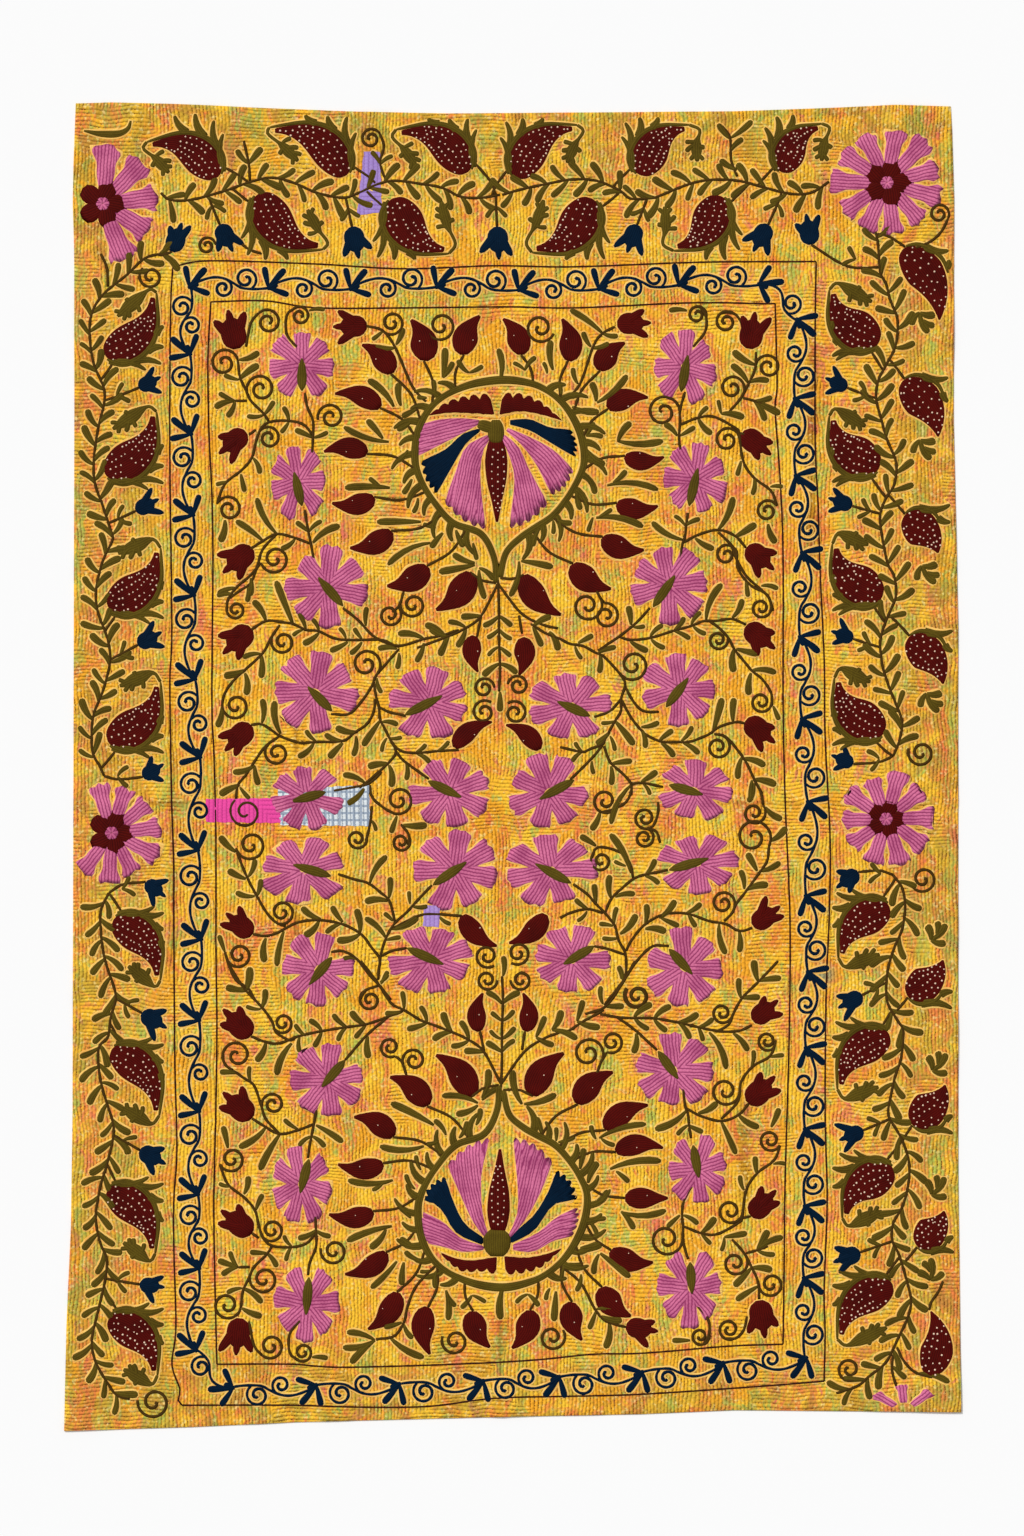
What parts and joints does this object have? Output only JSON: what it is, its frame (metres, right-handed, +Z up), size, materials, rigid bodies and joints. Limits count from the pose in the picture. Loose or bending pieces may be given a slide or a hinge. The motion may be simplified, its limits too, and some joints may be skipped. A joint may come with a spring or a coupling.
{
  "type": "embroidered quilted throw",
  "caption": "Quilted cotton throw lying flat, with a paisley border, rosettes, a scroll frame and a field of flowers and medallions raised in chain stitch.",
  "frame": {"origin": "middle of the cloth's bounding box, on the surface it lies on", "axes": "+Y towards the top edge of the pattern, +X to its right, +Z up through the cloth"},
  "size_m": [1.5276, 2.2604, 0.003],
  "materials": {
    "ground_cotton": "matt printed cotton with running stitch",
    "pink_cotton": "matt cotton",
    "white_cotton": "matt striped cotton",
    "lilac_cotton": "matt cotton",
    "maroon_thread": "chain-stitched thread",
    "pink_thread": "chain-stitched thread",
    "olive_thread": "chain-stitched thread",
    "navy_thread": "chain-stitched thread",
    "brown_thread": "stem-stitched thread",
    "white_thread": "small cream knots"
  },
  "bodies": {
    "root": {"ground_cloth": "ground_cotton", "patch_pink": "pink_cotton", "patch_white": "white_cotton", "patch_lilac_top": "lilac_cotton", "patch_lilac_low": "lilac_cotton"}
  },
  "joints": []
}
